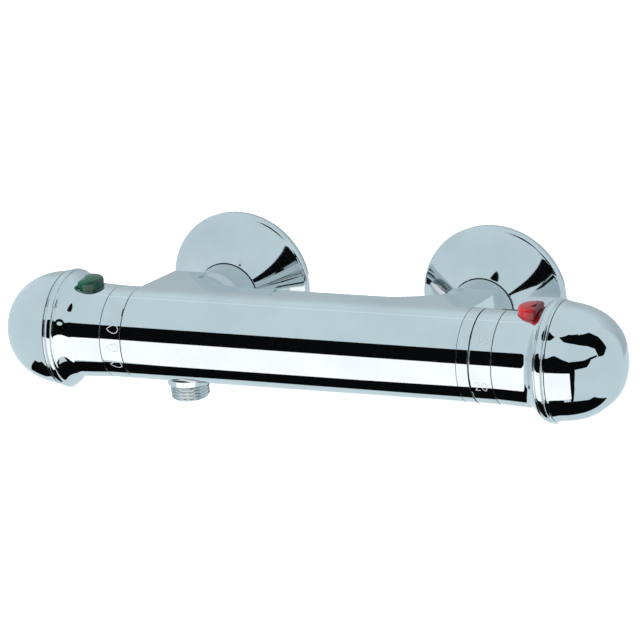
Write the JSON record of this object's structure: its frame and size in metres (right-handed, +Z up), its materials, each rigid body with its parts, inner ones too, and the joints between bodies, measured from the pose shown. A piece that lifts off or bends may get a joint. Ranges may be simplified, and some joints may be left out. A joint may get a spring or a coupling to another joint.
{
  "type": "thermostatic shower valve",
  "caption": "Wall-mounted chrome thermostatic bar valve with round domed handles, push buttons, wall roses and a threaded shower outlet.",
  "frame": {"origin": "on the wall's finished surface, midway between the two inlets", "axes": "+X along the bar to the user's right, +Y into the wall, +Z up"},
  "size_m": [0.3498, 0.1402, 0.0816],
  "materials": {
    "chrome_casting": "polished",
    "chrome_turned": "polished",
    "chrome_spun": "polished",
    "chrome_handle": "polished",
    "brass": "turned",
    "rubber": "matte",
    "white_plastic": "moulded",
    "grey_plastic": "moulded",
    "ceramic": "ground",
    "copper": "drawn",
    "spring_steel": "drawn wire",
    "red_button": "moulded",
    "green_button": "moulded"
  },
  "bodies": {
    "valve_body": {"bar_body": "chrome_casting", "index_ring": "chrome_turned", "outlet_nipple": "chrome_turned", "outlet_seal": "rubber", "thermostat_housing": "brass", "thermostat_o_rings": "rubber", "return_spring": "spring_steel", "temperature_stop_ring": "grey_plastic", "flow_cartridge_housing": "brass", "flow_o_rings": "rubber", "fixed_disc": "ceramic", "disc_seal": "rubber", "flow_stop_ring": "grey_plastic", "left_wall_rose": "chrome_spun", "left_offset_union": "brass", "left_union_nut": "chrome_turned", "left_filter_washer": "rubber", "left_inlet_tail": "brass", "left_check_valve_cage": "white_plastic", "left_check_valve_spring": "spring_steel", "right_wall_rose": "chrome_spun", "right_offset_union": "brass", "right_union_nut": "chrome_turned", "right_filter_washer": "rubber", "right_inlet_tail": "brass", "right_check_valve_cage": "white_plastic", "right_check_valve_spring": "spring_steel"},
    "temperature_control": {"temperature_handle": "chrome_handle", "temperature_scale_ring": "chrome_turned", "temperature_dome_cap": "chrome_handle", "temperature_handle_screw": "spring_steel", "thermostat_spindle": "brass", "override_button_spring": "spring_steel"},
    "override_button": {"override_button": "red_button"},
    "shuttle": {"thermostat_shuttle": "white_plastic", "wax_element": "copper", "adjuster_nut": "brass", "overload_spring": "spring_steel"},
    "flow_control": {"flow_handle": "chrome_handle", "flow_scale_ring": "chrome_turned", "flow_dome_cap": "chrome_handle", "flow_handle_screw": "spring_steel", "flow_spindle": "brass", "moving_disc": "ceramic", "economy_button_spring": "spring_steel"},
    "economy_button": {"economy_button": "green_button"},
    "left_poppet": {"left_check_valve_poppet": "white_plastic"},
    "right_poppet": {"right_check_valve_poppet": "white_plastic"}
  },
  "joints": [
    {"name": "temperature_turn", "type": "hinge", "parent": "valve_body", "child": "temperature_control", "pos_m": [0.13, -0.09, 0], "axis": [1, 0, 0], "range_deg": [-116, 66]},
    {"name": "flow_turn", "type": "hinge", "parent": "valve_body", "child": "flow_control", "pos_m": [-0.13, -0.09, 0], "axis": [1, 0, 0], "range_deg": [-116, 0]},
    {"name": "override_press", "type": "slide", "parent": "temperature_control", "child": "override_button", "axis": [0, 0, -1], "range_m": [0, 0.0025], "stiffness_N_per_m": 900, "springref_m": -0.0008, "deforming": ["override_button_spring"]},
    {"name": "economy_press", "type": "slide", "parent": "flow_control", "child": "economy_button", "axis": [0, 0, -1], "range_m": [0, 0.0025], "stiffness_N_per_m": 900, "springref_m": -0.0008, "deforming": ["economy_button_spring"]},
    {"name": "shuttle_slide", "type": "slide", "parent": "valve_body", "child": "shuttle", "axis": [1, 0, 0], "range_m": [-0.0017, 0.001], "deforming": ["return_spring"]},
    {"name": "left_check_valve_open", "type": "slide", "parent": "valve_body", "child": "left_poppet", "axis": [0, -1, 0], "range_m": [0, 0.0022], "stiffness_N_per_m": 120, "springref_m": -0.0015, "deforming": ["left_check_valve_spring"]},
    {"name": "right_check_valve_open", "type": "slide", "parent": "valve_body", "child": "right_poppet", "axis": [0, -1, 0], "range_m": [0, 0.0022], "stiffness_N_per_m": 120, "springref_m": -0.0015, "deforming": ["right_check_valve_spring"]}
  ],
  "couplings": [
    {"joint": "shuttle_slide", "follows": "temperature_turn", "m_per_rad": 0.0008}
  ]
}
